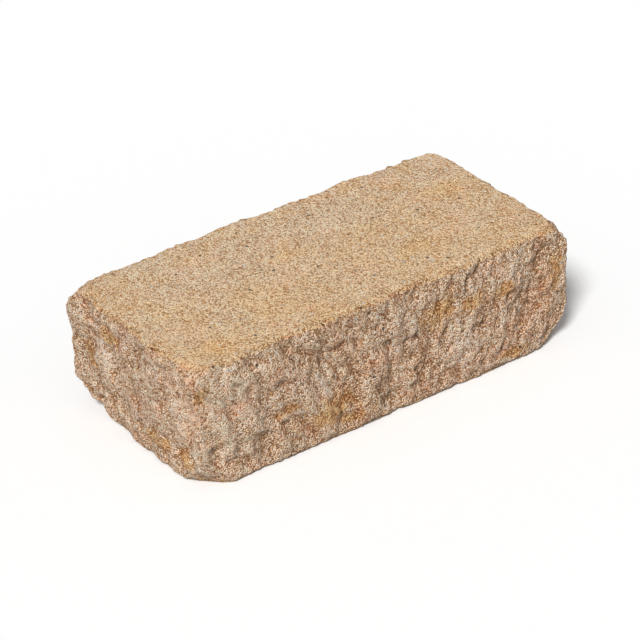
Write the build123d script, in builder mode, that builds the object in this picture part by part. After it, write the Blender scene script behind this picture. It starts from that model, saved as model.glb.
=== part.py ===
from build123d import *
from math import cos, radians, sin, sqrt
import os

# A garden wall block: one piece of pressed concrete. It is moulded as a slab with a flat top
# and bottom, split on its four sides, and tumbled, which knocks its corners off and wears its
# arrises round. Millimetres. X runs along the length, Y to the back and Z up. The origin is
# the middle of the bottom face, and the front is at -Y.

# Overall size, over the proudest points of the split faces.
LENGTH = 356.0
DEPTH = 178.0
HEIGHT = 102.0

# Split faces. Each is a wavy surface through a grid of points: long and short waves across it,
# and a roll inwards at its borders. It runs past the slab on every side, so it can split it.
LONG_WAVE = 118.0
SHORT_WAVE = 57.0
RISING_WAVE = 88.0
WAVE_SLANT = 0.35
LONG_RELIEF = 1.9
SHORT_RELIEF = 2.1
BORDER_ROLL = 2.0
BORDER_SHARPNESS = 4
POINTS_PER_WAVE = 4.75
POINT_PITCH = SHORT_WAVE / POINTS_PER_WAVE
SPLIT_WASTE = 4.0
SURFACE_OVERRUN = 2 * SPLIT_WASTE

# Each side: how far its split leans inwards from the bottom edge to the top edge, and the
# phase of its waves, so that no two sides are alike.
SIDES = {"front": (4.0, 0.3), "right": (0.0, 1.4), "back": (0.0, 3.1), "left": (-2.0, 3.3)}

# Worn arrises: the width that the bevel takes off each of the two faces it joins.
ARRIS_BEVEL = 2.2

# Knocked corners. Each is a dome through three points, one on each edge that meets there: the
# distances from the corner along the length, the depth and the height, then the dome's radius.
KNOCKED_CORNERS = {
    ("left", "front", "bottom"): (27.0, 28.0, 32.0, 130.0),
    ("left", "back", "bottom"): (38.0, 58.0, 25.0, 190.0),
    ("right", "front", "bottom"): (35.0, 31.0, 33.0, 72.0),
    ("right", "back", "bottom"): (28.0, 24.0, 22.0, 90.0),
    ("left", "front", "top"): (15.0, 48.0, 13.0, 200.0),
    ("left", "back", "top"): (38.0, 14.0, 13.0, 110.0),
    ("right", "front", "top"): (13.0, 40.0, 14.0, 170.0),
    ("right", "back", "top"): (12.0, 13.0, 10.0, 60.0),
}
CHIP_MARGIN = 19.0

# The corner that the distances are measured from lies behind the proudest points by the roll
# and half of the waves.
CORNER_INSET = BORDER_ROLL + (LONG_RELIEF + SHORT_RELIEF) / 2


def split_depth(along, up, width, lean, phase):
    """How far a split face lies behind its own proudest plane, before it is levelled."""
    turn = radians(360)
    long_wave = sin(turn * along / LONG_WAVE + phase)
    rising_wave = cos(turn * up / RISING_WAVE + phase)
    short_wave = sin(turn * (along + WAVE_SLANT * up) / SHORT_WAVE + 2 * phase) * rising_wave
    to_end = abs(along) / (width / 2)
    to_edge = abs(up) / (HEIGHT / 2)
    roll = BORDER_ROLL * (to_end**BORDER_SHARPNESS + to_edge**BORDER_SHARPNESS)
    waves = LONG_RELIEF / 2 * (1 + long_wave) + SHORT_RELIEF / 2 * (1 + short_wave)
    return lean * up / HEIGHT + roll + waves


def evenly_spaced(span):
    """Distances from the middle, at about the pitch of the points, that cover a span."""
    steps = round(span / POINT_PITCH)
    return [(step / steps - 1 / 2) * span for step in range(steps + 1)]


def split_face(side, width, lean, phase):
    """The surface of one split side, with its proudest point on the plane of that side."""
    along_values = evenly_spaced(width + 2 * SURFACE_OVERRUN)
    up_values = evenly_spaced(HEIGHT + 2 * SURFACE_OVERRUN)
    depths = [
        [split_depth(along, up, width, lean, phase) for along in along_values] for up in up_values
    ]
    proudest = min(min(row) for row in depths)
    points = [
        [
            side.from_local_coords(Vector(along, up + HEIGHT / 2, proudest - depth))
            for along, depth in zip(along_values, row)
        ]
        for up, row in zip(up_values, depths)
    ]
    return Face.make_surface_from_array_of_points(points)


def side_plane(name):
    """The upright plane of one side: its X runs along the side, its Y up and its Z outwards."""
    planes = {
        "front": Plane((0, -DEPTH / 2, 0), x_dir=(1, 0, 0), z_dir=(0, -1, 0)),
        "right": Plane((LENGTH / 2, 0, 0), x_dir=(0, 1, 0), z_dir=(1, 0, 0)),
        "back": Plane((0, DEPTH / 2, 0), x_dir=(-1, 0, 0), z_dir=(0, 1, 0)),
        "left": Plane((-LENGTH / 2, 0, 0), x_dir=(0, -1, 0), z_dir=(-1, 0, 0)),
    }
    return planes[name]


def corner_chip(names, sizes):
    """What comes off at one corner: a box round the corner, less a ball through three points."""
    end, flank, level = names
    *reach, dome_radius = sizes
    sign_x = 1 if end == "right" else -1
    sign_y = 1 if flank == "back" else -1
    sign_z = 1 if level == "top" else -1
    corner_x = sign_x * (LENGTH / 2 - CORNER_INSET)
    corner_y = sign_y * (DEPTH / 2 - CORNER_INSET)
    corner = Vector(corner_x, corner_y, HEIGHT / 2 + sign_z * HEIGHT / 2)
    # From the point on the length's edge to the two others, and the ball's centre from these.
    start = corner - Vector(sign_x * reach[0], 0, 0)
    to_second = corner - Vector(0, sign_y * reach[1], 0) - start
    to_third = corner - Vector(0, 0, sign_z * reach[2]) - start
    normal = to_second.cross(to_third)
    across = normal.cross(to_second) * to_third.length**2
    across += to_third.cross(normal) * to_second.length**2
    to_middle = across / (2 * normal.length**2)
    inwards = normal.normalized() * (1 if normal.dot(start - corner) > 0 else -1)
    rise = sqrt(dome_radius**2 - to_middle.length**2)
    with BuildPart() as chip:
        with Locations(corner):
            Box(*(2 * (distance + CHIP_MARGIN) for distance in reach))
        with Locations(start + to_middle + inwards * rise):
            Sphere(dome_radius, mode=Mode.SUBTRACT)
    return chip.part


chips = [corner_chip(names, sizes) for names, sizes in KNOCKED_CORNERS.items()]

with BuildPart() as wall_block:
    # The slab as moulded, larger than the block by what the splitting takes off.
    with BuildSketch():
        Rectangle(LENGTH + 2 * SPLIT_WASTE, DEPTH + 2 * SPLIT_WASTE)
    extrude(amount=HEIGHT)
    # The four split sides.
    for name, (lean, phase) in SIDES.items():
        width = LENGTH if name in ("front", "back") else DEPTH
        split(bisect_by=split_face(side_plane(name), width, lean, phase), keep=Keep.TOP)
    # The worn arrises.
    chamfer(wall_block.edges(), length=ARRIS_BEVEL)
    # The knocked corners.
    for chip in chips:
        add(chip, mode=Mode.SUBTRACT)

wall_block.part.label = "wall_block"
os.makedirs("parts", exist_ok=True)
export_step(wall_block.part, "parts/wall_block.step")
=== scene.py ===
# %% [markdown]
# # A tumbled concrete wall block
# The block is one piece of dry-cast concrete. Its top and bottom are moulded and sandy. Its
# four sides were split, so they show the broken inside of the concrete, and tumbling has
# knocked off its corners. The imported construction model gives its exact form, in metres, and
# stays as it is. This script lays a much finer skin over that form, breaks the skin up as the
# splitting did, and colours it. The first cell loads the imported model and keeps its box.

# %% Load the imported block
import itertools
import math

import bpy
import numpy as np
from mathutils import Matrix, Vector


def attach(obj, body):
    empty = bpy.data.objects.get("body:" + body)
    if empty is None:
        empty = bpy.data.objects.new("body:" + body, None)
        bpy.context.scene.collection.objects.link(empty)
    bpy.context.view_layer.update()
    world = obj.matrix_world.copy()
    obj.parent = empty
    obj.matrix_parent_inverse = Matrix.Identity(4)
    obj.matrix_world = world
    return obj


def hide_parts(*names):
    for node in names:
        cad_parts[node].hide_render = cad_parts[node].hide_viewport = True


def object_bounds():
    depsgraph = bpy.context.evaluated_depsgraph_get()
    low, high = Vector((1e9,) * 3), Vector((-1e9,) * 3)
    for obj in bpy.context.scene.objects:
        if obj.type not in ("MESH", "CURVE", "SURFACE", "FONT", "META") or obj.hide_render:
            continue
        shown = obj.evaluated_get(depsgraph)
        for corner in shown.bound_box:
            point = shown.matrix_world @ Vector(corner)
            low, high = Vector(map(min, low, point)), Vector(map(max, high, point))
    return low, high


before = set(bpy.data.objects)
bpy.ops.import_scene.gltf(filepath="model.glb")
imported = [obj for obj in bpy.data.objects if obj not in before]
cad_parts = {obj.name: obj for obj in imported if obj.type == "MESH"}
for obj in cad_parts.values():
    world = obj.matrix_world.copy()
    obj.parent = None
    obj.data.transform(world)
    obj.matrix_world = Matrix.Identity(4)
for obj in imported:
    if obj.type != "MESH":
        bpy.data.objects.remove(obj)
cad_low, cad_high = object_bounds()
cad_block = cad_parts["wall_block"]
MM = 0.001
LOWEST = np.array(cad_low) / MM
HIGHEST = np.array(cad_high) / MM
HEIGHT = HIGHEST[2] - LOWEST[2]
print("block, mm:", np.round(HIGHEST - LOWEST, 1))

# %% [markdown]
# ## Reading a mesh as arrays
# Blender keeps a mesh's numbers in C arrays, and `foreach_get` copies a whole array at once.
# That is hundreds of times quicker than a Python loop over a hundred thousand vertices, so
# every shape below is worked out on whole numpy arrays.


# %% Helpers that read and write whole arrays
def read(collection, name, width=1, kind=np.float64):
    """One property of every item of a mesh collection, as an array of rows of that width."""
    values = np.empty(len(collection) * width, kind)
    collection.foreach_get(name, values)
    return values.reshape(-1, width) if width > 1 else values


def write(collection, name, values):
    """Sets one property of every item of a mesh collection from an array."""
    collection.foreach_set(name, np.ascontiguousarray(values).ravel())


cad_places = read(cad_block.data.vertices, "co", 3) / MM
print("vertices of the packed block:", len(cad_places))

# %% [markdown]
# ## The sides' own planes
# The fine skin has to start near the real surface. Each split side leans a little, so a plane
# is fitted to it: its distance from the middle is a straight line over the height. The packed
# block's own vertices give the points for that fit, those well away from its edges and ends.


# %% Fit a straight line to each side
SIDE_ZONE = 14.0
END_CLEARANCE = 45.0
EDGE_CLEARANCE = 4.0


def side_line(axis, sign):
    """The least-squares line of one side's distance from the middle against the height."""
    outwards = sign * cad_places[:, axis]
    half = HIGHEST[axis] if sign > 0 else -LOWEST[axis]
    other = 1 - axis
    inner = np.abs(cad_places[:, other]) < HIGHEST[other] - END_CLEARANCE
    chosen = inner & (outwards > half - SIDE_ZONE)
    height = cad_places[:, 2]
    chosen &= (height > LOWEST[2] + EDGE_CLEARANCE) & (height < HIGHEST[2] - EDGE_CLEARANCE)
    return np.polyfit(height[chosen], outwards[chosen], 1)


LEFT, RIGHT = side_line(0, -1), side_line(0, 1)
FRONT, BACK = side_line(1, -1), side_line(1, 1)
for name, line in (("left", LEFT), ("right", RIGHT), ("front", FRONT), ("back", BACK)):
    print(f"{name} side: {line[1]:.1f} mm at the foot, leaning {line[0] * HEIGHT:+.1f} mm")

# %% [markdown]
# ## A grid for the rough sides
# The sides carry the rough break, so they get a fine grid: a belt of square cells round the
# block, made of rows of columns. Its vertices are numbered row by row from the foot up. The
# last column's cells end at the first column again, so the belt has no seam.

# %% Number the vertices of the belt
ALONG, ACROSS, UP = 296, 148, 84
FRONT_END, RIGHT_END, BACK_END = ALONG, ALONG + ACROSS, 2 * ALONG + ACROSS


def perimeter():
    """The belt's columns as places from -1 to 1: along the front, right, back and left."""
    long_way = np.linspace(-1, 1, ALONG + 1)[:-1]
    short_way = np.linspace(-1, 1, ACROSS + 1)[:-1]
    x = np.concatenate([long_way, np.ones(ACROSS), -long_way, -np.ones(ACROSS)])
    y = np.concatenate([-np.ones(ALONG), short_way, np.ones(ALONG), -short_way])
    return np.stack([x, y], 1)


ring = perimeter()
RING = len(ring)
belt_number = np.arange((UP + 1) * RING).reshape(UP + 1, RING)
levels = np.linspace(0, 1, UP + 1)
belt_places = np.concatenate(
    [np.tile(ring, (UP + 1, 1)), np.repeat(levels, RING)[:, None]], axis=1
)


def belt_cells():
    """Four corners of each belt cell: two of one level, then two of the next one up."""
    after = np.roll(belt_number, -1, axis=1)
    return np.stack([belt_number[:-1], after[:-1], after[1:], belt_number[1:]], -1).reshape(-1, 4)


print("belt:", UP, "rows of", RING, "cells")

# %% [markdown]
# ## Grids for the moulded faces
# The two moulded faces are flat, so cells twice as wide do there. Where they meet the belt,
# each wide cell takes in the extra belt vertex on its border as a fifth corner. Every vertex
# is shared, so the skin is closed and watertight.


# %% Number the vertices of the two moulded faces
def cap_numbers(level, first_inner):
    """A moulded face's vertex numbers on its wide grid: belt numbers round it, new ones inside."""
    wide, deep = ALONG // 2, ACROSS // 2
    numbers = np.full((deep + 1, wide + 1), -1)
    row = belt_number[level]
    numbers[0] = row[0 : FRONT_END + 1 : 2]
    numbers[:, -1] = row[FRONT_END : RIGHT_END + 1 : 2]
    numbers[-1] = row[RIGHT_END : BACK_END + 1 : 2][::-1]
    numbers[:, 0] = np.append(row[BACK_END::2], row[0])[::-1]
    numbers[1:-1, 1:-1] = first_inner + np.arange((deep - 1) * (wide - 1)).reshape(deep - 1, -1)
    return numbers


def cap_cells(level, numbers):
    """Up to eight corners of each wide cell, with -1 where a side has no extra belt vertex."""
    row = belt_number[level]
    cells = np.full((numbers.shape[0] - 1, numbers.shape[1] - 1, 8), -1)
    cells[..., 0] = numbers[:-1, :-1]
    cells[..., 2] = numbers[:-1, 1:]
    cells[..., 4] = numbers[1:, 1:]
    cells[..., 6] = numbers[1:, :-1]
    cells[0, :, 1] = row[1:FRONT_END:2]
    cells[:, -1, 3] = row[FRONT_END + 1 : RIGHT_END : 2]
    cells[-1, :, 5] = row[RIGHT_END + 1 : BACK_END : 2][::-1]
    cells[:, 0, 7] = row[BACK_END + 1 :: 2][::-1]
    return cells.reshape(-1, 8)


def cap_places(level):
    """The places of a moulded face's inner vertices: an even grid from -1 to 1 each way."""
    long_way = np.linspace(-1, 1, ALONG // 2 + 1)[1:-1]
    short_way = np.linspace(-1, 1, ACROSS // 2 + 1)[1:-1]
    x, y = np.meshgrid(long_way, short_way)
    return np.stack([x.ravel(), y.ravel(), np.full(x.size, float(level > 0))], 1)


bottom = cap_numbers(0, belt_number.size)
top = cap_numbers(UP, belt_number.size + len(cap_places(0)))
grid_places = np.concatenate([belt_places, cap_places(0), cap_places(UP)])
print("skin vertices:", len(grid_places))

# %% [markdown]
# ## From the grid to a closed skin
# The grid's places run from -1 to 1. They are stretched between the four fitted side planes,
# and the cells are put into a mesh as one long row of corners. The bottom's cells are listed
# the other way round, so that they face down.


# %% Make the skin's mesh
def stretched(places):
    """Millimetres from places: x between the left and right lines, y between front and back."""
    z = LOWEST[2] + places[:, 2] * HEIGHT
    left, right = -np.polyval(LEFT, z), np.polyval(RIGHT, z)
    front, back = -np.polyval(FRONT, z), np.polyval(BACK, z)
    x = left + (places[:, 0] + 1) / 2 * (right - left)
    y = front + (places[:, 1] + 1) / 2 * (back - front)
    return np.stack([x, y, z], 1)


def closed_mesh(name, places, cell_groups):
    """A mesh from vertices and groups of cells, where a corner of -1 is no corner."""
    corners = np.concatenate([cells[cells >= 0] for cells in cell_groups])
    sizes = np.concatenate([(cells >= 0).sum(1) for cells in cell_groups])
    mesh = bpy.data.meshes.new(name)
    mesh.vertices.add(len(places))
    mesh.loops.add(len(corners))
    mesh.polygons.add(len(sizes))
    write(mesh.vertices, "co", places * MM)
    write(mesh.loops, "vertex_index", corners.astype(np.int32))
    write(mesh.polygons, "loop_start", (np.cumsum(sizes) - sizes).astype(np.int32))
    mesh.update(calc_edges=True)
    mesh.validate()
    return mesh, int((sizes - 2).sum())


cells = [belt_cells(), cap_cells(UP, top), cap_cells(0, bottom)[:, ::-1]]
skin_mesh, triangles = closed_mesh("split_block", stretched(grid_places), cells)
split_block = bpy.data.objects.new("split_block", skin_mesh)
bpy.context.scene.collection.objects.link(split_block)
print("triangles:", triangles)

# %% [markdown]
# ## Laying the skin on the block
# A Shrinkwrap modifier moves each vertex to the nearest point of another surface, here the
# packed block, with its waves and knocked corners. At a sharp edge many vertices can land on
# one line. So the vertices are then drawn towards the middle of their neighbours and laid on
# again, a few times over, which spreads them evenly.

# %% Wrap the skin round the block
EVEN_ROUNDS = 7
EVEN_PULL = 0.6
edges = read(skin_mesh.edges, "vertices", 2, np.int32)
neighbours = np.bincount(edges.ravel(), minlength=len(grid_places))


def averaged(values):
    """Each vertex's mean over its neighbours: both ends of every edge give to the other."""
    first, second = edges.T
    size = len(values)
    sums = [
        np.bincount(first, column[second], size) + np.bincount(second, column[first], size)
        for column in values.reshape(size, -1).T
    ]
    return (np.stack(sums, 1) / neighbours[:, None]).reshape(values.shape)


def smoothed(values, rounds):
    """The mean over the neighbours, taken that many times in a row."""
    for _ in range(rounds):
        values = averaged(values)
    return values


def wrapped(piece, target):
    """The vertices of a piece, in millimetres, each at the nearest point of the target."""
    wrap = piece.modifiers.new("wrap", "SHRINKWRAP")
    wrap.target = target
    wrap.wrap_method = "NEAREST_SURFACEPOINT"
    shown = piece.evaluated_get(bpy.context.evaluated_depsgraph_get())
    places = read(shown.data.vertices, "co", 3) / MM
    piece.modifiers.remove(wrap)
    return places


laid = wrapped(split_block, cad_block)
for _ in range(EVEN_ROUNDS):
    write(skin_mesh.vertices, "co", (laid + EVEN_PULL * (averaged(laid) - laid)) * MM)
    skin_mesh.update()
    laid = wrapped(split_block, cad_block)
write(skin_mesh.vertices, "co", laid * MM)
skin_mesh.update()
lengths = np.linalg.norm(laid[edges[:, 0]] - laid[edges[:, 1]], axis=1)
print("edge lengths, mm:", np.round(np.percentile(lengths, [0, 1, 50, 99, 100]), 2))

# %% [markdown]
# ## Where the break meets the moulded faces
# Two finishes meet along a ragged line near the arrises. The flat faces count as 1 and all
# the rest as 0, and averaging that over the neighbours many times turns the step into a soft
# slope about a centimetre wide. A threshold on the slope, shifted by noise, will then give
# the ragged line, and the middle of the slope marks the arris itself.

# %% Measure how far each vertex is from the arris
SLOPE_ROUNDS = 26
FACING_ROUNDS = 3
FLAT_NORMAL = 0.97
normals = read(skin_mesh.vertex_normals, "vector", 3)
moulded = smoothed((np.abs(normals[:, 2]) > FLAT_NORMAL).astype(float), SLOPE_ROUNDS)
facing = smoothed(normals, FACING_ROUNDS)
facing /= np.linalg.norm(facing, axis=1)[:, None]
print("moulded share:", round(float((moulded > 0.5).mean()), 2))

# %% [markdown]
# ## Noise on whole arrays
# Two patterns make most of this surface. Soft noise blends random numbers between the
# corners of a lattice of cubes. A stone pattern throws one point into each cube and measures
# how far the nearest one is, which gives rounded lumps with creases between them. Both take
# places in millimetres, a size, and the number of a layer: each layer reads the lattice from
# another spot, so that no two patterns look alike.

# %% Soft noise and a stone pattern
LATTICE = 64
LAYERS = 64
chance = np.random.default_rng(11)
lattice = chance.random((LATTICE, LATTICE, LATTICE, 3))
shifts = chance.uniform(0, LATTICE, (LAYERS, 3))


def chance_of(cell):
    """The three random numbers of each cube of the lattice, which repeats after its width."""
    cell = cell % LATTICE
    return lattice[cell[:, 0], cell[:, 1], cell[:, 2]]


def soft(at, size, layer):
    """Soft noise, -1 to 1: the cube corners' random numbers, blended by an S-curve each way."""
    place = at / size + shifts[layer]
    cell = np.floor(place).astype(int)
    part = place - cell
    part = part * part * (3 - 2 * part)
    total = np.zeros(len(at))
    for corner in itertools.product((0, 1), repeat=3):
        share = np.where(corner, part, 1 - part).prod(axis=1)
        total += share * chance_of(cell + corner)[:, 0]
    return 2 * total - 1


def stones(at, size, layer):
    """Per place, of the nearest strayed point: its distance, its number, and a tilted facet.

    The facet is a plane through the point, as steep each way as the point's three numbers say.
    """
    place = at / size + shifts[layer]
    cell = np.floor(place).astype(int)
    nearest = np.full(len(at), 9.0)
    number = np.zeros(len(at))
    facet = np.zeros(len(at))
    for step in itertools.product((-1, 0, 1), repeat=3):
        point = chance_of(cell + step)
        offset = cell + step + point - place
        gap = np.linalg.norm(offset, axis=1)
        closer = gap < nearest
        nearest[closer] = gap[closer]
        number[closer] = point[closer, 2]
        facet[closer] = (offset * (2 * point - 1)).sum(axis=1)[closer]
    return nearest, number, facet


def rise(value, start, end):
    """0 up to start, 1 from end, and an S-curve between them."""
    part = np.clip((value - start) / (end - start), 0, 1)
    return part * part * (3 - 2 * part)


print("random numbers in the lattice:", lattice.size)

# %% [markdown]
# ## A field of marks
# The break of a real block is not the same all over. Hollows, lumps and narrow streaks sit
# where they happened to form, and larger chips are knocked out of the arrises. Each is written
# down as a mark: the face, its place along and up that face, how far it spreads each way, and
# how much its top leans. A mark fades like a bell curve, and noise frays its rim.

# %% A field from a list of marks
# For each face: the axis along it, the axis through it, its distance, and its sign there.
FACES = {
    "front": (0, 1, FRONT[1], -1),
    "back": (0, 1, BACK[1], 1),
    "left": (1, 0, LEFT[1], -1),
    "right": (1, 0, RIGHT[1], 1),
    "top": (0, 2, HEIGHT, 1),
}
# How far from its face a mark reaches, which keeps it off the faces round the corner.
MARK_DEPTH = 14.0


def field(marks, at, fray):
    """The strongest of a list of marks at each place: exp(-d squared), d in spreads."""
    best = np.zeros(len(at))
    for face, along, up, wide, tall, lean in marks:
        axis, through, level, sign = FACES[face]
        rising = 1 if face == "top" else 2
        step_up = at[:, rising] - up
        step_along = at[:, axis] - along - lean * step_up
        step_in = at[:, through] - sign * level
        gap = (step_along / wide) ** 2 + (step_up / tall) ** 2 + (step_in / MARK_DEPTH) ** 2
        best = np.maximum(best, np.exp(-gap * np.clip(1 + fray, 0.4, 2.0)))
    return best


fray = 0.7 * soft(laid, 9.0, 15) + 0.4 * soft(laid, 4.0, 16)
print("fray of the rims:", np.round(np.percentile(fray, [0, 50, 100]), 2))

# %% [markdown]
# ## Marks seen on this block
# These are the hollows, lumps and streaks that show most on this block, with their places in
# millimetres. The last list holds the chips along the arrises. Everything smaller is left to
# chance, because nobody tells one small lump from another.

# %% List the marks of relief
HOLLOWS = [
    ("front", -145, 52, 6, 22, -0.3),
    ("front", -55, 64, 11, 20, -0.4),
    ("front", -37, 34, 8, 18, -0.4),
    ("front", -8, 20, 9, 13, -0.4),
    ("front", 36, 32, 8, 22, 0.2),
    ("front", 92, 56, 11, 19, 0.2),
    ("front", 149, 84, 11, 12, 0.3),
    ("front", -163, 22, 6, 10, 0.0),
    ("front", -88, 92, 8, 8, 0.0),
    ("front", -112, 22, 9, 13, -0.2),
    ("front", 140, 45, 12, 16, 0.1),
    ("front", 64, 84, 12, 8, 0.4),
    ("left", 50, 82, 11, 9, 0.4),
    ("left", -4, 62, 13, 8, 0.6),
    ("left", -18, 87, 10, 6, 0.8),
    ("left", 64, 56, 10, 9, 0.3),
    ("left", 18, 28, 9, 10, 0.2),
    ("left", -62, 16, 9, 7, 0.5),
    ("left", -42, 62, 9, 8, 0.5),
]
LUMPS = [
    ("front", -128, 84, 13, 12, -0.2),
    ("front", -95, 62, 12, 15, -0.2),
    ("front", -66, 44, 9, 13, -0.2),
    ("front", -20, 72, 12, 15, -0.2),
    ("front", 10, 66, 13, 16, 0.0),
    ("front", 66, 38, 12, 17, 0.2),
    ("front", 112, 74, 11, 14, 0.1),
    ("front", -128, 38, 9, 14, -0.2),
    ("front", 10, 26, 8, 12, 0.0),
    ("front", 118, 30, 14, 13, 0.0),
    ("left", 40, 64, 12, 9, 0.4),
    ("left", -56, 52, 14, 13, 0.4),
    ("left", 14, 88, 10, 7, 0.4),
    ("left", -10, 38, 12, 9, 0.4),
    ("left", 36, 42, 12, 9, 0.4),
    ("left", -36, 74, 10, 8, 0.4),
]
STREAKS = [
    ("front", -158, 30, 4, 10, -0.4),
    ("front", -145, 60, 4, 10, -0.4),
    ("front", -140, 31, 5, 13, -0.4),
    ("front", -112, 64, 5, 12, -0.5),
    ("front", -100, 30, 4, 12, -0.5),
    ("front", -76, 78, 4, 11, -0.5),
    ("front", -57, 60, 5, 15, -0.5),
    ("front", -44, 76, 4, 12, -0.6),
    ("front", -36, 28, 4, 13, -0.5),
    ("front", -24, 60, 4, 13, -0.5),
    ("front", -8, 21, 4, 13, -0.4),
]
CHIPS = [
    ("right", -40, 104, 24, 8, 0.0),
    ("back", -136, 104, 16, 7, 0.0),
    ("left", 56, 18, 14, 12, 0.0),
]
print("marks of relief:", len(HOLLOWS + LUMPS + STREAKS + CHIPS))

# %% [markdown]
# ## The slant of the break
# The lumps of a split face stand taller than wide, and they slant, because a crack runs in one
# direction. Here the slant fans out from left to right. A pattern has no slant of its own, so
# the places it is read at are leaned over instead. They are first pushed about by noise, so
# that no lattice shows, and dividing their height makes each shape that much taller.

# %% Lean the places that the patterns are read at
STRAY, STRAY_SIZE = 2.5, 13.0
FAN_MIDDLE, FAN_SWING, FAN_REACH = 0.04, 0.44, 70.0
strayed = laid + STRAY * np.stack([soft(laid, STRAY_SIZE, layer) for layer in (0, 1, 2)], 1)
middle_up = strayed[:, 2:] - HEIGHT / 2
fan = FAN_MIDDLE - FAN_SWING * np.tanh(laid[:, 0] / FAN_REACH)
leant = strayed + middle_up * np.stack([fan, 0 * fan, 0 * fan], 1)


def squashed(places, taller):
    """Places with their height divided, which makes a pattern read there that much taller."""
    return places / np.array([1.0, 1.0, taller])


print("lean at the left and right ends:", np.round([fan.max(), fan.min()], 2))

# %% [markdown]
# ## The broken surface
# Splitting leaves broad hollows and ridges, lumps of sand and stone, each with its own tilted
# facet, crumbs on the lumps, and pits where a stone came out. Each size gets its own layer.
# The broad shapes die out towards the arrises and are calmer to the right. Tumbling has worn
# the lumps, so the sum is averaged over the neighbours before the crumbs go on. The foot is
# worn smoothest. The two ends are less drawn out in height than the long sides.

# %% Work out the relief of the break
TALLER, END_TALLER, RIDGE_TALLER = 2.3, 1.2, 1.7
EDGE_FADE, FOOT_FADE = 16.0, 14.0
WORN_ROUNDS = 3
# Each layer's size in millimetres and its number.
WAVES, SHORT_WAVES, RIDGES, PITS = (24.0, 3), (12.0, 4), (9.0, 17), (5.0, 8)
LARGE_STONES, SMALL_STONES, CRUMBS = (7.0, 5), (3.5, 6), (1.7, 7)
marked = 1.6 * field(LUMPS, laid, fray) - 2.8 * field(HOLLOWS, laid, fray)
marked -= 2.0 * field(STREAKS, laid, fray)
above_foot = laid[:, 2] - LOWEST[2]
to_edge = np.minimum(above_foot, HIGHEST[2] - laid[:, 2])


def break_relief(taller):
    """Soft noise and ridges, calmer to the right, the marks, and stones of two sizes."""
    places = squashed(leant, taller)
    calm = 1 - 0.6 * rise(laid[:, 0], -20.0, 80.0)
    waves = 3.0 * soft(places, *WAVES) + 3.0 * soft(places, *SHORT_WAVES)
    ridges = 4.0 * soft(squashed(leant, RIDGE_TALLER * taller), *RIDGES)
    broad = (waves + ridges) * calm + marked
    gap, number, facet = stones(places, *LARGE_STONES)
    lumps = 2.8 * (0.45 - gap) + 1.5 * (number - 0.5) + 3.4 * facet
    gap, number, facet = stones(places, *SMALL_STONES)
    small = 2.4 * (0.45 - gap) + 1.0 * (number - 0.5) + 2.0 * facet
    pits = -1.2 * rise(soft(places, *PITS), 0.45, 0.8)
    near_foot = rise(FOOT_FADE - above_foot, 0.0, FOOT_FADE)
    return broad * rise(to_edge, 0.0, EDGE_FADE) + lumps * (1 - 0.7 * near_foot) + small + pits


end_share = rise(facing[:, 0] ** 2 - facing[:, 1] ** 2, -0.6, 0.6)
broken = break_relief(TALLER) * (1 - end_share) + break_relief(END_TALLER) * end_share
broken = smoothed(broken, WORN_ROUNDS) + 0.4 * soft(leant, *CRUMBS)
print("break, mm:", np.round(np.percentile(broken, [0, 5, 50, 95, 100]), 2))

# %% [markdown]
# ## A straighter foot
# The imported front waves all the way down, but this block's foot line is nearly straight. So
# the lowest rows of the belt are drawn most of the way to the mean of their row, which fades
# out a little further up and before the knocked corners.

# %% Level the foot of the front
FOOT_REACH, FOOT_END_FADE = 150.0, 20.0
FOOT_TOP, FOOT_TOP_FADE = 20.0, 15.0
FOOT_SHARE, FOOT_LIMIT = 0.8, 2.0
front_rows = belt_number[:, :FRONT_END]
out = -laid[front_rows, 1]
inner = rise(FOOT_REACH - np.abs(laid[front_rows, 0]), 0.0, FOOT_END_FADE)
mean_out = (out * inner).sum(axis=1, keepdims=True) / inner.sum(axis=1, keepdims=True)
low_down = rise(FOOT_TOP - above_foot[front_rows], 0.0, FOOT_TOP_FADE)
levelled_foot = np.zeros(len(laid))
levelled_foot[front_rows] = (
    FOOT_SHARE * np.clip(mean_out - out, -FOOT_LIMIT, FOOT_LIMIT) * inner * low_down
)
print("foot levelled by, mm:", np.round([levelled_foot.min(), levelled_foot.max()], 2))

# %% [markdown]
# ## The moulded faces and the arrises
# The moulded skin is flat, with only sand grains and a few small pits. The break runs right
# up to the arris, where it may only go sideways, so that it bites into the rim of the flat
# face and leaves the face level. Nibbles of a centimetre or so are broken out of the arris,
# and the foot is worn rounder than the top.

# %% Mix the reliefs
SIDEWAYS_ROUNDS = 6
WORN_FOOT_HEIGHT = 9.0
RIM_FRAY = ((0.10, 9.0, 9), (0.07, 4.0, 10), (0.04, 2.3, 11))
SAND_RIPPLE, SAND_PITS, NIBBLES = (2.6, 12), (5.0, 13), (10.0, 14)
ragged = moulded.copy()
for strength, size, layer in RIM_FRAY:
    ragged += strength * soft(laid, size, layer)
skin = rise(ragged, 0.30, 0.44)
arris = 1 - np.abs(2 * np.clip(ragged, 0, 1) - 1)
sandy = -0.10 + 0.10 * soft(laid, *SAND_RIPPLE) - 0.35 * rise(soft(laid, *SAND_PITS), 0.62, 0.9)
nibbles = -1.5 * rise(soft(laid, *NIBBLES), 0.05, 0.75) * rise(arris, 0.35, 0.95)
upright_arris = rise(np.abs(facing[:, 0] * facing[:, 1]), 0.12, 0.4)
worn_foot = -0.3 * rise(WORN_FOOT_HEIGHT - above_foot, 0.0, WORN_FOOT_HEIGHT)
chipped = -2.6 * field(CHIPS, laid, fray)
rough = (broken - 0.6) * rise(1 - moulded, 0.12, 0.6) * (1 - 0.35 * upright_arris)
sideways = smoothed(facing, SIDEWAYS_ROUNDS)
sideways[:, 2] *= 1 - rise(moulded, 0.02, 0.3)
sideways /= np.linalg.norm(sideways, axis=1)[:, None] + 1e-6
push = facing * (skin * sandy + nibbles + chipped)[:, None]
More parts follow.
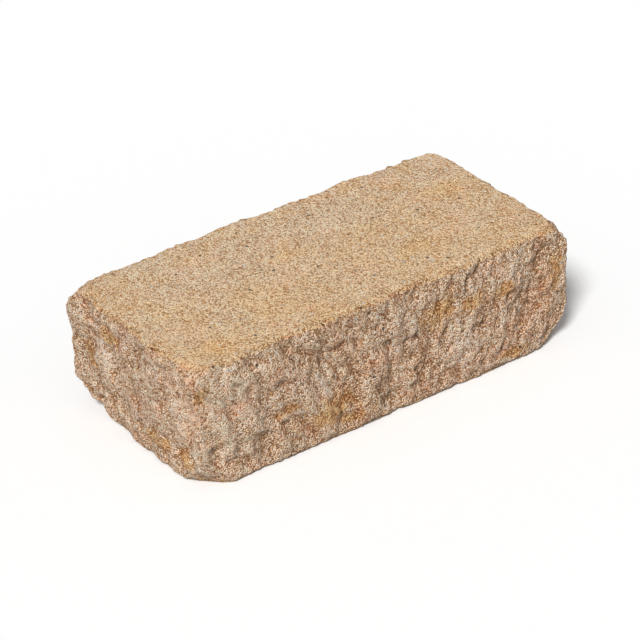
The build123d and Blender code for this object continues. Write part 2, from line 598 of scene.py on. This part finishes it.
push += sideways * (rough + worn_foot + levelled_foot)[:, None]
print("share of sandy skin:", round(float(skin.mean()), 2))

# %% [markdown]
# ## Keeping to the block's size
# Relief that stands proud must not make the block larger. The room between each vertex and
# the block's box, along its own direction, sets a limit. A soft minimum of the two makes the
# relief level off as it nears the limit, and clipping holds every vertex inside the box.

# %% Push the skin out and in
SOFTNESS = 0.6
LEAST_SHARE = 0.05
amount = np.linalg.norm(push, axis=1)
way = push / (amount[:, None] + 1e-6)
room = np.where(way > 0, HIGHEST - laid, laid - LOWEST)
reach = (room / np.maximum(np.abs(way), LEAST_SHARE)).min(axis=1)
limited = -SOFTNESS * np.logaddexp(-amount / SOFTNESS, -reach / SOFTNESS)
final = np.clip(laid + way * limited[:, None], LOWEST, HIGHEST)
relief = (way * facing).sum(axis=1) * limited
write(skin_mesh.vertices, "co", final * MM)
skin_mesh.update()
write(skin_mesh.polygons, "use_smooth", np.ones(len(skin_mesh.polygons), bool))
print("relief as laid, mm:", np.round(np.percentile(relief, [0, 5, 50, 95, 100]), 2))

# %% [markdown]
# ## Masks for the finish
# The material needs to know what each place is. A vertex attribute holds one number for each
# vertex, and the material reads it by name: `skin` is 1 on the moulded faces, `border` is 1 next
# to them, and `hollow` is 1 deep in the break, where less light gets in, and darkens it there as
# painted shade. The leaning places go with them, so that colours can slant as the break does.


# %% Store the masks on the skin
def store(name, values):
    """Keeps one number from 0 to 1 for each vertex, for the material to read by that name."""
    kept = np.clip(values, 0, 1)
    attribute = skin_mesh.attributes.new(name, "FLOAT", "POINT")
    write(attribute.data, "value", kept.astype(np.float32))
    print(f"{name}: mean {kept.mean():.2f}")


COLOUR_TALLER = 1.6
LEVEL_ROUNDS = 12
leaning_places = skin_mesh.attributes.new("leaning", "FLOAT_VECTOR", "POINT")
write(leaning_places.data, "vector", squashed(leant, COLOUR_TALLER))
level = smoothed(relief, LEVEL_ROUNDS)
store("skin", skin)
store("border", rise(moulded, 0.0, 0.3))
# Painted shade: 1 where the skin lies below the level of its neighbours, and in the listed
# hollows.
store("hollow", rise(level - relief, -0.7, 1.3) + 0.35 * field(HOLLOWS, laid, fray))

# %% [markdown]
# ## Stains seen on this block
# Iron in the sand leaves ochre and rose stains, and cement leaves grey ones. The pale marks are
# partly paler patches and partly painted light on lumps that the lamp lights. They are marks like
# the hollows: face, along, up, spread each way, and lean. The top has a few golden clouds, where
# `up` counts towards the back.

# %% Store the stains
OCHRE_MARKS = [
    ("front", -93, 42, 10, 6, 0.0),
    ("front", -58, 26, 22, 9, 0.3),
    ("front", -40, 13, 12, 6, 0.0),
    ("front", 46, 72, 15, 11, 0.2),
    ("front", 76, 69, 14, 7, 0.0),
    ("front", 110, 70, 8, 8, 0.0),
    ("front", 162, 66, 6, 16, 0.0),
    ("front", 120, 9, 12, 5, 0.0),
    ("front", -176, 53, 2, 3, 0.0),
    ("left", 58, 52, 13, 9, 0.4),
    ("left", 28, 83, 12, 6, 0.4),
    ("left", -34, 22, 14, 7, 0.4),
    ("left", -62, 19, 9, 7, 0.4),
    ("left", -85, 84, 5, 6, 0.0),
]
ROSE_MARKS = [
    ("front", -107, 76, 9, 8, 0.0),
    ("front", -135, 62, 12, 5, 0.0),
    ("front", -10, 53, 13, 6, -0.4),
    ("front", -170, 70, 5, 12, 0.0),
    ("front", 58, 15, 14, 8, 0.0),
    ("front", 150, 58, 9, 13, 0.0),
    ("front", 104, 16, 20, 9, 0.0),
    ("front", 132, 32, 20, 14, 0.0),
    ("left", -55, 81, 15, 7, 0.4),
    ("left", -6, 42, 10, 9, 0.4),
    ("left", -76, 92, 14, 10, 0.0),
    ("left", 22, 12, 14, 7, 0.0),
]
GREY_MARKS = [
    ("front", 9, 70, 17, 14, 0.0),
    ("front", -93, 62, 13, 13, 0.0),
    ("front", -62, 48, 10, 12, 0.0),
    ("front", 68, 38, 14, 15, 0.0),
    ("front", 92, 90, 10, 7, 0.0),
    ("left", 40, 66, 13, 9, 0.4),
    ("left", 8, 86, 15, 8, 0.4),
    ("left", -12, 34, 13, 9, 0.4),
]
# Pale marks: partly paler patches, partly painted light on lit lumps.
PALE_AND_LIT_MARKS = [
    ("front", -148, 60, 34, 60, 0.0),
    ("front", -120, 84, 12, 12, 0.0),
    ("front", -62, 48, 10, 12, 0.0),
    ("front", 68, 38, 14, 15, 0.0),
    ("front", 118, 86, 16, 10, 0.0),
    ("left", 40, 66, 12, 10, 0.4),
    ("left", -70, 60, 14, 40, 0.0),
    ("left", -70, 13, 14, 12, 0.0),
]
GOLD_MARKS = [
    ("top", 135, 22, 17, 12, 0.0),
    ("top", 65, -38, 19, 11, 0.0),
    ("top", -140, -62, 18, 12, 0.0),
    ("top", 112, 52, 11, 8, 0.0),
    ("top", 84, 76, 10, 7, 0.0),
    ("top", -20, 16, 12, 8, 0.0),
]
stains = {
    "ochre": OCHRE_MARKS,
    "rose": ROSE_MARKS,
    "grey": GREY_MARKS,
    "pale": PALE_AND_LIT_MARKS,
    "gold": GOLD_MARKS,
}
for name, marks in stains.items():
    store(name, field(marks, laid, fray))

# %% [markdown]
# ## Writing shader maths as sums
# A material is a graph of nodes. Written out node by node it is long and hard to read, so a
# small class stands for one output socket and understands +, - and *. Each sum on it adds a
# Math node. Every other kind of node comes from its one method `node`.


# %% A socket that understands sums
class Wire:
    """One output socket of a material's node tree."""

    def __init__(self, tree, socket=None):
        self.tree = tree
        self.socket = socket

    def node(self, kind, settings=None, inputs=None, output=0):
        """Adds a node: its settings are set first, then its sockets' values or links."""
        added = self.tree.nodes.new(kind)
        for name, value in (settings or {}).items():
            if name == "stops":
                self.set_stops(added.color_ramp.elements, value)
            else:
                setattr(added, name, value)
        for name, value in (inputs or {}).items():
            if isinstance(value, Wire):
                self.tree.links.new(value.socket, added.inputs[name])
            else:
                added.inputs[name].default_value = value
        return Wire(self.tree, added.outputs[output] if added.outputs else None)

    @staticmethod
    def set_stops(elements, stops):
        """Gives a colour ramp its stops: places from 0 to 1, and a colour for each."""
        while len(elements) < len(stops):
            elements.new(0.5)
        for element, (place, colour) in zip(elements, stops):
            element.position = place
            element.color = colour

    def sum(self, operation, first, second):
        """Adds a Math node that works on two numbers or links."""
        return self.node("ShaderNodeMath", {"operation": operation}, {0: first, 1: second})

    def __add__(self, other):
        return self.sum("ADD", self, other)

    def __sub__(self, other):
        return self.sum("SUBTRACT", self, other)

    def __rsub__(self, other):
        return self.sum("SUBTRACT", other, self)

    def __mul__(self, other):
        return self.sum("MULTIPLY", self, other)

    __radd__ = __add__
    __rmul__ = __mul__


concrete = bpy.data.materials.new("cast_concrete")
concrete.use_nodes = True
concrete.node_tree.nodes.clear()
start = Wire(concrete.node_tree)
print("an empty material:", concrete.name)

# %% [markdown]
# ## Colours
# A colour picker shows sRGB numbers, and a shader wants linear light, so the helper turns one
# into the other. The sand and the break each have a dark, a middle and a light tone. The rest
# from GOLDEN on are tints, which multiply a colour: 1 leaves a channel as it is.


# %% Turn picked colours into linear light
def paint(red, green, blue):
    """Linear colour from sRGB 0 to 255: a straight start, then a power of 2.4."""
    share = np.array([red, green, blue]) / 255
    linear = np.where(share <= 0.04045, share / 12.92, ((share + 0.055) / 1.055) ** 2.4)
    return (*linear, 1.0)


SAND = (paint(176, 127, 84), paint(228, 190, 149), paint(255, 236, 206))
BREAK = (paint(156, 115, 80), paint(234, 190, 152), paint(255, 236, 210))
SOOT = paint(66, 62, 62)
CHALK = paint(244, 236, 226)
GOLDEN = (1.04, 0.93, 0.72, 1.0)
ROSY = (1.05, 0.90, 0.84, 1.0)
GREYISH = (1.00, 1.00, 1.05, 1.0)
OCHRE = (0.93, 0.79, 0.55, 1.0)
WARM_GRAIN = (1.06, 0.94, 0.78, 1.0)
COOL_GRAIN = (0.94, 0.98, 1.07, 1.0)
print("middle sand in linear light:", np.round(SAND[1][:3], 2))

# %% [markdown]
# ## The patterns of the finish
# One material covers the whole block, because it is one concrete. Its patterns live in the
# block's own space, in millimetres, so they have a real size and run on round every edge. The
# helpers read the stored masks and make the two patterns of the relief again as shader nodes:
# soft noise, and a stone pattern where each cell is one grain with its own random numbers.


# %% Helpers for patterns and masks
def mask(name):
    """A number stored on the skin's vertices."""
    return start.node("ShaderNodeAttribute", {"attribute_name": name}, output=2)


def noise(places, size, detail=2.0, roughness=0.5):
    """Soft noise of a size in millimetres, about 0.5 on average."""
    return start.node(
        "ShaderNodeTexNoise",
        inputs={"Vector": places, "Scale": 1 / size, "Detail": detail, "Roughness": roughness},
    )


def grains(places, size):
    """A stone pattern of a size in millimetres: the distance, and three numbers a grain."""
    settings = {"Vector": places, "Scale": 1 / size}
    gap = start.node("ShaderNodeTexVoronoi", inputs=settings)
    numbers = start.node("ShaderNodeTexVoronoi", inputs=settings, output=1)
    return gap, [
        start.node("ShaderNodeSeparateColor", inputs={0: numbers}, output=channel)
        for channel in range(3)
    ]


def slope(value, low, high):
    """0 where the value is below low, 1 above high, and an S-curve between."""
    return value.node(
        "ShaderNodeMapRange",
        {"interpolation_type": "SMOOTHSTEP"},
        {"Value": value, "From Min": low, "From Max": high},
    )


def clouds(size, low, high, detail=3.0, roughness=0.5):
    """Clouds of a size in millimetres: soft noise put through a slope."""
    return slope(noise(at_mm, size, detail, roughness), low, high)


at = start.node("ShaderNodeTexCoord", output=3)
at_mm = start.node("ShaderNodeVectorMath", {"operation": "SCALE"}, {0: at, "Scale": 1 / MM})
at_break = start.node("ShaderNodeAttribute", {"attribute_name": "leaning"}, output=1)
print("nodes that give places:", len(concrete.node_tree.nodes))

# %% [markdown]
# ## From a tone to a colour
# Sand and crumbs differ mostly in how light they are, so a finish starts as one number, its
# tone, and a Color Ramp turns that into a colour. Stains are laid over it one after another.
# Each multiplies the colour, so the light and dark of the grains stays.


# %% Helpers for colours
def toned(value, tones):
    """A colour for a tone from 0 to 1: from the dark one over the middle one to the light one."""
    dark, middle, light = tones
    stops = [(0.0, dark), (0.5, middle), (1.0, light)]
    return value.node("ShaderNodeValToRGB", {"stops": stops}, {"Fac": value})


def mixed(kind, first, second, share):
    """Two colours mixed as far as the share says, in one of the Mix node's ways."""
    settings = {"data_type": "RGBA", "blend_type": kind}
    return share.node("ShaderNodeMix", settings, {0: share, 6: first, 7: second}, output=2)


def stained(colour, stains):
    """A colour multiplied by one tint after another, each as far as its mask says."""
    for tint, share in stains:
        colour = mixed("MULTIPLY", colour, tint, share)
    return colour


# The gaps between grains, as distances from a grain's middle in units of its size.
GAP_START, GAP_END = 0.4, 0.8
print("gaps between grains:", GAP_START, "to", GAP_END, "of a grain's size from its middle")

# %% [markdown]
# ## The moulded skin
# Seen close, the flat faces are sand grains a little over a millimetre wide, each with its own
# tone, with painted shade darkening the gaps between them. Seen from further off they are tan,
# with clouds of gold and rose, and more golden towards the front. So the tone is a sum of patterns
# of many sizes, and tints are laid over the colour that the tone gives. Noise of 3.5 and 16 mm
# makes patches of grains lighter and darker together.

# %% Colour the moulded skin
SAND_SIZE = 1.2
sand_gap, sand_number = grains(at_mm, SAND_SIZE)
fine = noise(at_mm, 0.8, 1.0)
skin_tone = (
    0.86
    + (sand_number[0] - 0.5) * 1.2
    # Painted shade in the gaps between sand grains.
    - slope(sand_gap, GAP_START, GAP_END) * 0.6
    + (noise(at_mm, 3.5, 2.0) - 0.5) * 0.45
    + (noise(at_mm, 16.0, 3.0) - 0.5) * 0.75
    + (fine - 0.5) * 1.6
)
depth = start.node("ShaderNodeSeparateXYZ", inputs={0: at_mm}, output=1)
skin_stains = [
    (WARM_GRAIN, slope(sand_number[1], 0.6, 1.0)),
    (COOL_GRAIN, slope(sand_number[2], 0.6, 1.0)),
    (GOLDEN, slope(depth * -1, -60.0, 70.0) * 0.35),
    (GOLDEN, clouds(40.0, 0.46, 0.66) * 0.4),
    (GOLDEN, mask("gold") * 0.8),
    (ROSY, clouds(31.0, 0.5, 0.68, roughness=0.6) * 0.4),
]
skin_colour = stained(toned(skin_tone, SAND), skin_stains)
print("nodes so far:", len(concrete.node_tree.nodes))

# %% [markdown]
# ## The tone of the break
# The broken inside shows bare crumbs. The palest are lifted further, partly as pale grains and
# partly as painted glints, and painted shade darkens the gaps between the crumbs and the hollows.
# The crumbs' contrast itself comes and goes, because some lumps are coated with cement. The two
# patterns that follow the relief read the leaning places, so that their shapes slant as the break
# does.

# %% Tone the break
CRUMB_SIZE = 1.2
crumb_gap, crumb_number = grains(at_mm, CRUMB_SIZE)
break_tone = (
    0.93
    + (crumb_number[0] - 0.5) * (0.5 + noise(at_mm, 6.0) * 1.4)
    # The palest crumbs lifted further: pale grains and painted glints.
    + slope(crumb_number[0], 0.85, 1.0) * 0.4
    # Painted shade in the gaps between crumbs.
    - slope(crumb_gap, GAP_START, GAP_END) * 0.7
    - slope(noise(at_mm, 1.5, 1.0), 0.58, 0.70) * 0.5
    # Painted light on lit lumps, together with paler patches, from the pale marks.
    + mask("pale") * 0.35
    + (noise(at_break, 3.0, 2.0) - 0.5) * 0.4
    + (noise(at_break, 9.0, 2.0) - 0.5) * 0.2
    + (noise(at_mm, 24.0, 2.0) - 0.5) * 0.4
    # Painted shade deep in the hollows of the break.
    - mask("hollow") * 0.5
)
print("nodes so far:", len(concrete.node_tree.nodes))

# %% [markdown]
# ## The stains of the break
# Grey, rosy and rusty clouds lie over the crumbs. Noise spreads faint ones everywhere, and the
# stored masks put the strong ones where this block has them. The ochre spots get a frayed rim
# from noise. Near the arris the break has the skin's gold.

# %% Stain the break
frayed_ochre = slope(mask("ochre") + noise(at_break, 5.0, 3.0) - 0.5, 0.15, 0.75)
break_stains = [
    (WARM_GRAIN, slope(crumb_number[1], 0.7, 1.0)),
    (COOL_GRAIN, slope(crumb_number[2], 0.7, 1.0)),
    (GOLDEN, mask("border")),
    (GREYISH, clouds(14.0, 0.52, 0.66) * 0.4),
    (GREYISH, mask("grey")),
    (ROSY, clouds(15.0, 0.47, 0.64, roughness=0.6) * 0.6),
    (ROSY, mask("rose") * 0.6),
    (OCHRE, clouds(11.0, 0.58, 0.72, detail=4.0, roughness=0.6) * 0.5),
    (OCHRE, frayed_ochre),
]
break_colour = stained(toned(break_tone, BREAK), break_stains)
print("stains of the break:", len(break_stains))

# %% [markdown]
# ## Single dark and white grains
# A few grains of slate and quartz lie in the sand. They use the stone pattern at a wide pitch:
# only the heart of a cell is coloured, in the cells whose number is high enough, and the third
# number makes some grains larger.

# %% Sprinkle the single grains
SPECK_PITCH = 6.0
speck_gap, speck_number = grains(at_mm, SPECK_PITCH)
speck_near = 1 - slope(speck_gap - speck_number[2] * 0.16, 0.04, 0.09)
dark_specks = slope(speck_number[0], 0.78, 0.80) * speck_near
white_specks = slope(speck_number[1], 0.84, 0.86) * speck_near
moulded_skin = mask("skin")
colour = mixed("MIX", break_colour, skin_colour, moulded_skin)
colour = mixed("MIX", colour, SOOT, dark_specks * 0.85)
colour = mixed("MIX", colour, CHALK, white_specks * 0.7)
print("nodes so far:", len(concrete.node_tree.nodes))

# %% [markdown]
# ## The feel of the grains
# Grains a millimetre wide would need millions of triangles, so their height only turns the
# light: a Bump node tilts the surface's normal as a height in millimetres would. Dry concrete
# is dull, so the roughness is high and the shine low.

# %% Bump the grains and finish the shader
sand_height = (0.5 - sand_gap) * 1.3 + fine * 0.5 + sand_number[0] * 0.6
crumb_height = (0.5 - crumb_gap) * 1.9 + crumb_number[0] * 0.9 + noise(at_break, 2.6, 2.0) * 2.4
height = crumb_height * (1 - moulded_skin) + sand_height * moulded_skin
shader = start.node(
    "ShaderNodeBsdfPrincipled",
    inputs={
        "Base Color": colour,
        "Roughness": 0.82 + fine * 0.16,
        "Specular IOR Level": 0.3,
        "Normal": start.node(
            "ShaderNodeBump", inputs={"Strength": 1.0, "Distance": MM, "Height": height}
        ),
    },
)
start.node("ShaderNodeOutputMaterial", inputs={"Surface": shader})
skin_mesh.materials.append(concrete)
print("concrete nodes:", len(concrete.node_tree.nodes))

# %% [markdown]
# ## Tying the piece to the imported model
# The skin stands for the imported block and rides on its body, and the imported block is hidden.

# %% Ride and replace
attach(split_block, "root")
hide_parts("wall_block")
print(split_block.name, "stands for", cad_block.name)

# %% [markdown]
# ## Floor
# A plain pale floor carries the shadow. To the camera it shows white; what it throws back on
# the block is a pale grey's worth. A Light Path node tells the two apart.


# %% Stage the floor
def shown_white(wire):
    """1 for rays that look at a thing, straight or by gloss or glass, and 0 for its light."""
    looks = [wire.node("ShaderNodeLightPath", output=number) for number in (0, 3, 6)]
    return looks[0].sum("MAXIMUM", looks[0], looks[1].sum("MAXIMUM", looks[1], looks[2]))


FLOOR_HALF = 6.0
PALE_GREY = (0.5, 0.5, 0.5, 1.0)
WHITE = (1.0, 1.0, 1.0, 1.0)
floor_mesh = bpy.data.meshes.new("floor")
floor_mesh.from_pydata(
    [(x * FLOOR_HALF, y * FLOOR_HALF, 0.0) for x, y in ((-1, -1), (1, -1), (1, 1), (-1, 1))],
    [],
    [(0, 1, 2, 3)],
)
floor = bpy.data.objects.new("floor", floor_mesh)
bpy.context.scene.collection.objects.link(floor)
pale = bpy.data.materials.new("pale_floor")
pale.use_nodes = True
pale.node_tree.nodes.clear()
ground = Wire(pale.node_tree)
matt = ground.node(
    "ShaderNodeBsdfDiffuse",
    inputs={"Color": mixed("MIX", PALE_GREY, WHITE, shown_white(ground))},
)
ground.node("ShaderNodeOutputMaterial", inputs={"Surface": matt})
floor_mesh.materials.append(pale)
print("floor, metres across:", 2 * FLOOR_HALF)

# %% [markdown]
# ## Sky and lamp
# A large soft lamp from the left and a little in front, not high, gives the break its relief
# and makes each grain cast its own shade. An even pale sky fills the rest, and shows white to
# the camera. Together they give a flat upward face about the light that shows a colour as
# written.

# %% Light the block
SKY_LEVEL = 0.31
KEY_FROM = Vector((-0.51, -0.43, 0.67)).normalized()
KEY_ENERGY = 3.05
KEY_WIDTH = math.radians(14)
world = bpy.data.worlds.new("studio")
bpy.context.scene.world = world
world.use_nodes = True
world.node_tree.nodes.clear()
air = Wire(world.node_tree)
strength = shown_white(air) * (1 - SKY_LEVEL) + SKY_LEVEL
sky = air.node("ShaderNodeBackground", inputs={"Color": WHITE, "Strength": strength})
air.node("ShaderNodeOutputWorld", inputs={"Surface": sky})
key_data = bpy.data.lights.new("key", "SUN")
key_data.energy = KEY_ENERGY
key_data.angle = KEY_WIDTH
key = bpy.data.objects.new("key", key_data)
key.matrix_world = KEY_FROM.to_track_quat("Z", "Y").to_matrix().to_4x4()
bpy.context.scene.collection.objects.link(key)
print("lamp above the horizon, degrees:", round(math.degrees(math.asin(KEY_FROM.z)), 1))

# %% [markdown]
# ## Camera
# The camera stands where the photograph was taken from: its bearing round the block, its
# height above the horizon, a slight roll and its distance all come from fitting the block's
# outline.

# %% Set the camera
BEARING, ELEVATION, ROLL = (math.radians(a) for a in (-35.3567, 30.5532, -2.0939))
DISTANCE = 2.0703
AIM = Vector((-0.0091, -0.0079, 0.051))
FOCAL_PIXELS, PICTURE_WIDTH, SENSOR_WIDTH = 2700, 640, 36.0
backwards = Vector(
    (
        math.sin(BEARING) * math.cos(ELEVATION),
        -math.cos(BEARING) * math.cos(ELEVATION),
        math.sin(ELEVATION),
    )
)
level_right = (-backwards).cross(Vector((0, 0, 1))).normalized()
level_up = level_right.cross(-backwards)
right = math.cos(ROLL) * level_right + math.sin(ROLL) * level_up
upwards = -math.sin(ROLL) * level_right + math.cos(ROLL) * level_up
camera_data = bpy.data.cameras.new("camera")
camera_data.sensor_width = SENSOR_WIDTH
camera_data.lens = FOCAL_PIXELS / PICTURE_WIDTH * SENSOR_WIDTH
camera = bpy.data.objects.new("camera", camera_data)
turn = Matrix((right, upwards, backwards)).transposed().to_4x4()
camera.matrix_world = Matrix.Translation(AIM + backwards * DISTANCE) @ turn
bpy.context.scene.collection.objects.link(camera)
bpy.context.scene.camera = camera
bpy.context.scene.view_settings.view_transform = "Standard"
print("lens, mm:", round(camera_data.lens, 1))
